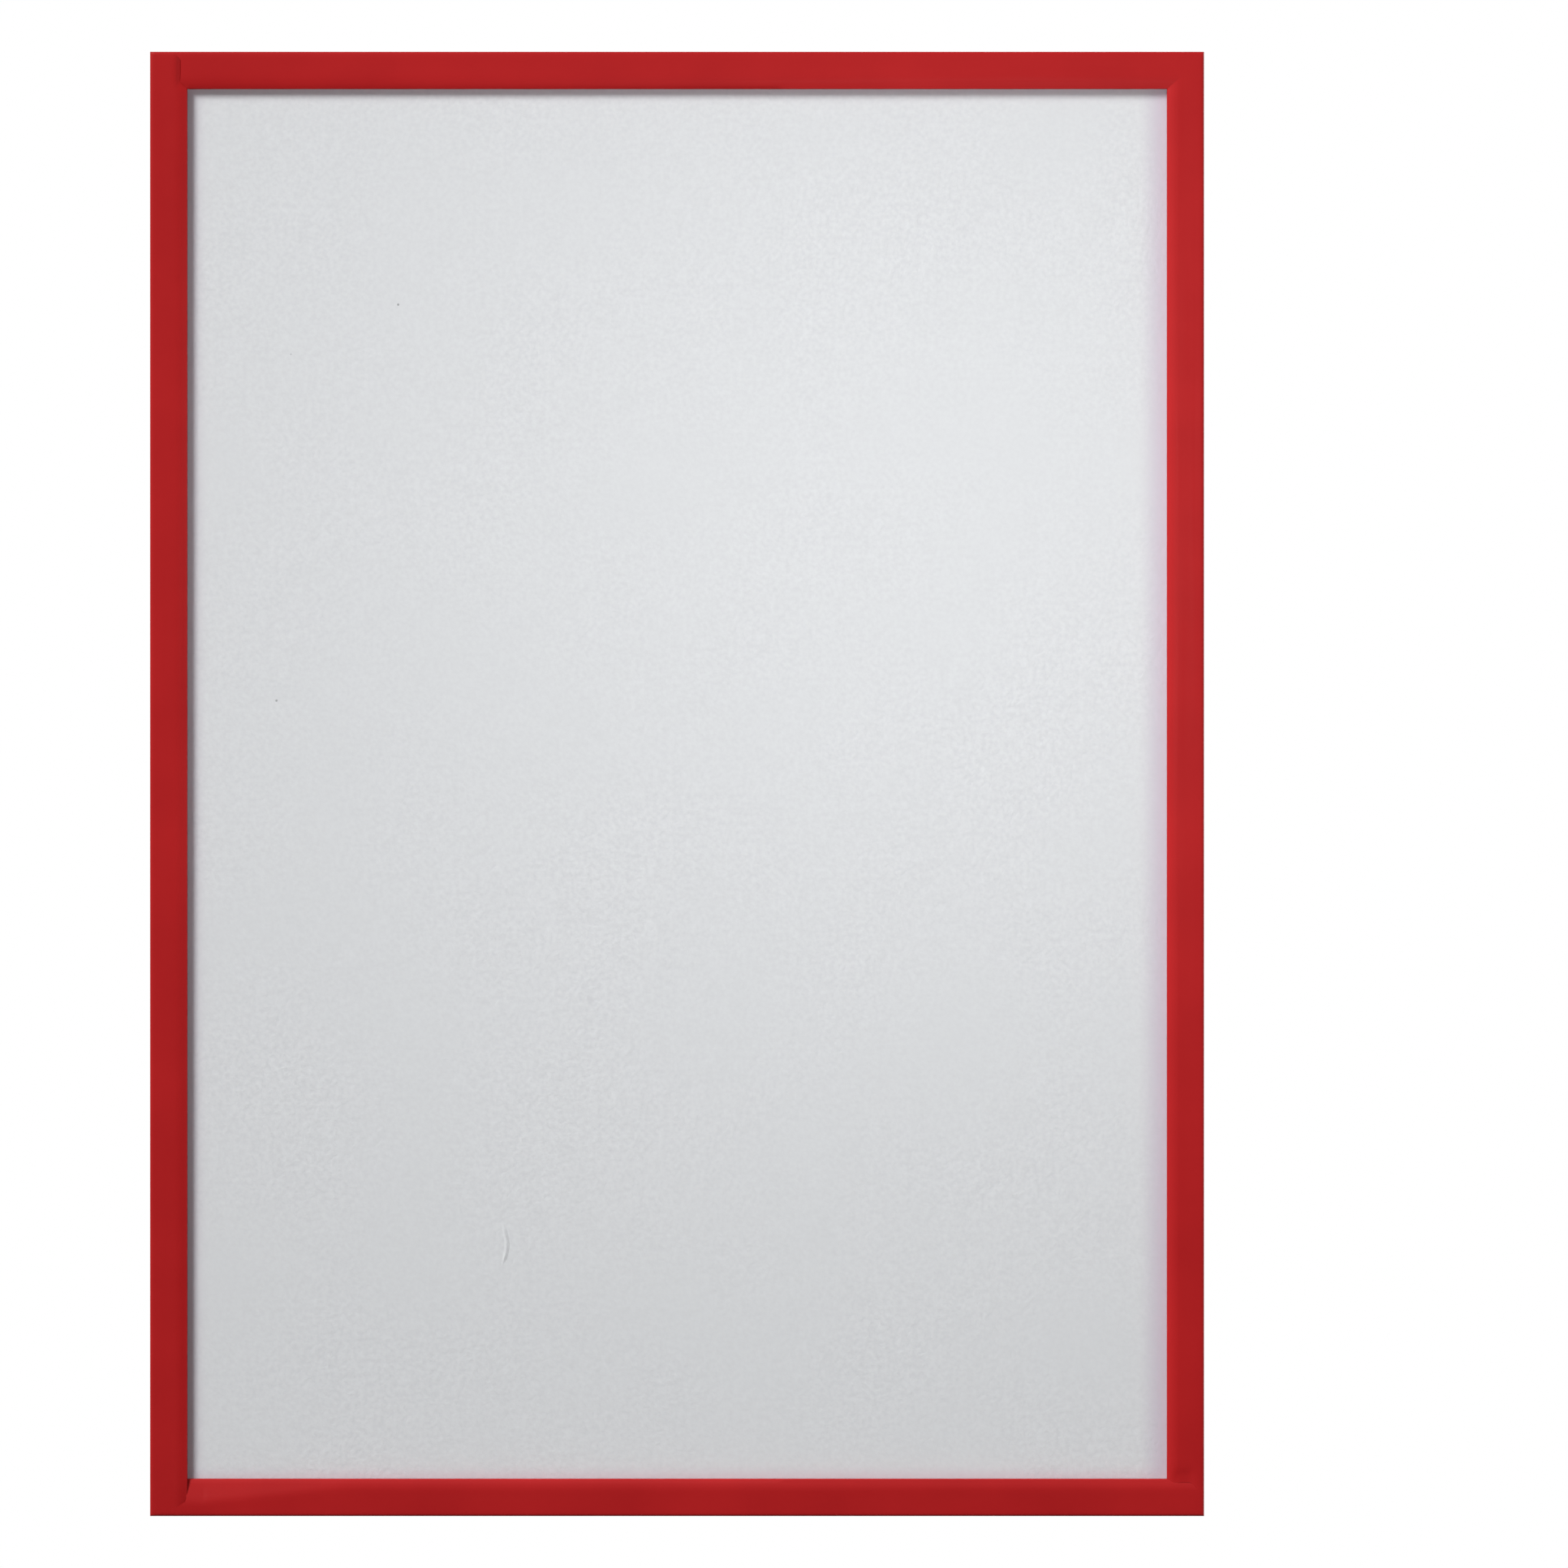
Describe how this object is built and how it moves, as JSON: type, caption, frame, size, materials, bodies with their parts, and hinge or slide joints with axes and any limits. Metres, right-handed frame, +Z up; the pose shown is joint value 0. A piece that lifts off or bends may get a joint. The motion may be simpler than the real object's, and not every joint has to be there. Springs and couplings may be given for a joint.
{
  "type": "magnetic photo frame",
  "caption": "Flat upright frame of red plastic bars round a matte clear window, with magnet strips behind the bars that hold it and a loose sheet against a steel surface.",
  "frame": {"origin": "middle of the plane of the magnet strips' back faces, which lies against the steel surface", "axes": "+Z up along the tall side, +X to the right seen from the front, +Y from the front through the back into the steel surface"},
  "size_m": [0.225, 0.0039, 0.3126],
  "materials": {
    "red_plastic": "satin",
    "clear_film": "satin",
    "adhesive_tape": "satin",
    "magnet_rubber": "matte",
    "white_card": "matte"
  },
  "bodies": {
    "frame": {"frame_bar_left": "red_plastic", "frame_bar_top": "red_plastic", "frame_bar_bottom": "red_plastic", "frame_bar_right": "red_plastic", "window_film": "clear_film", "film_tape_left": "adhesive_tape", "film_tape_top": "adhesive_tape", "film_tape_bottom": "adhesive_tape", "film_tape_right": "adhesive_tape", "magnet_tape_left": "adhesive_tape", "magnet_tape_top": "adhesive_tape", "magnet_tape_bottom": "adhesive_tape", "magnet_tape_right": "adhesive_tape", "magnet_strip_left": "magnet_rubber", "magnet_strip_top": "magnet_rubber", "magnet_strip_bottom": "magnet_rubber", "magnet_strip_right": "magnet_rubber"},
    "insert": {"insert_sheet": "white_card"}
  },
  "joints": [
    {"name": "insert_lift_out", "type": "slide", "parent": "frame", "child": "insert", "axis": [0, 1, 0], "range_m": [0, 0.03]}
  ]
}
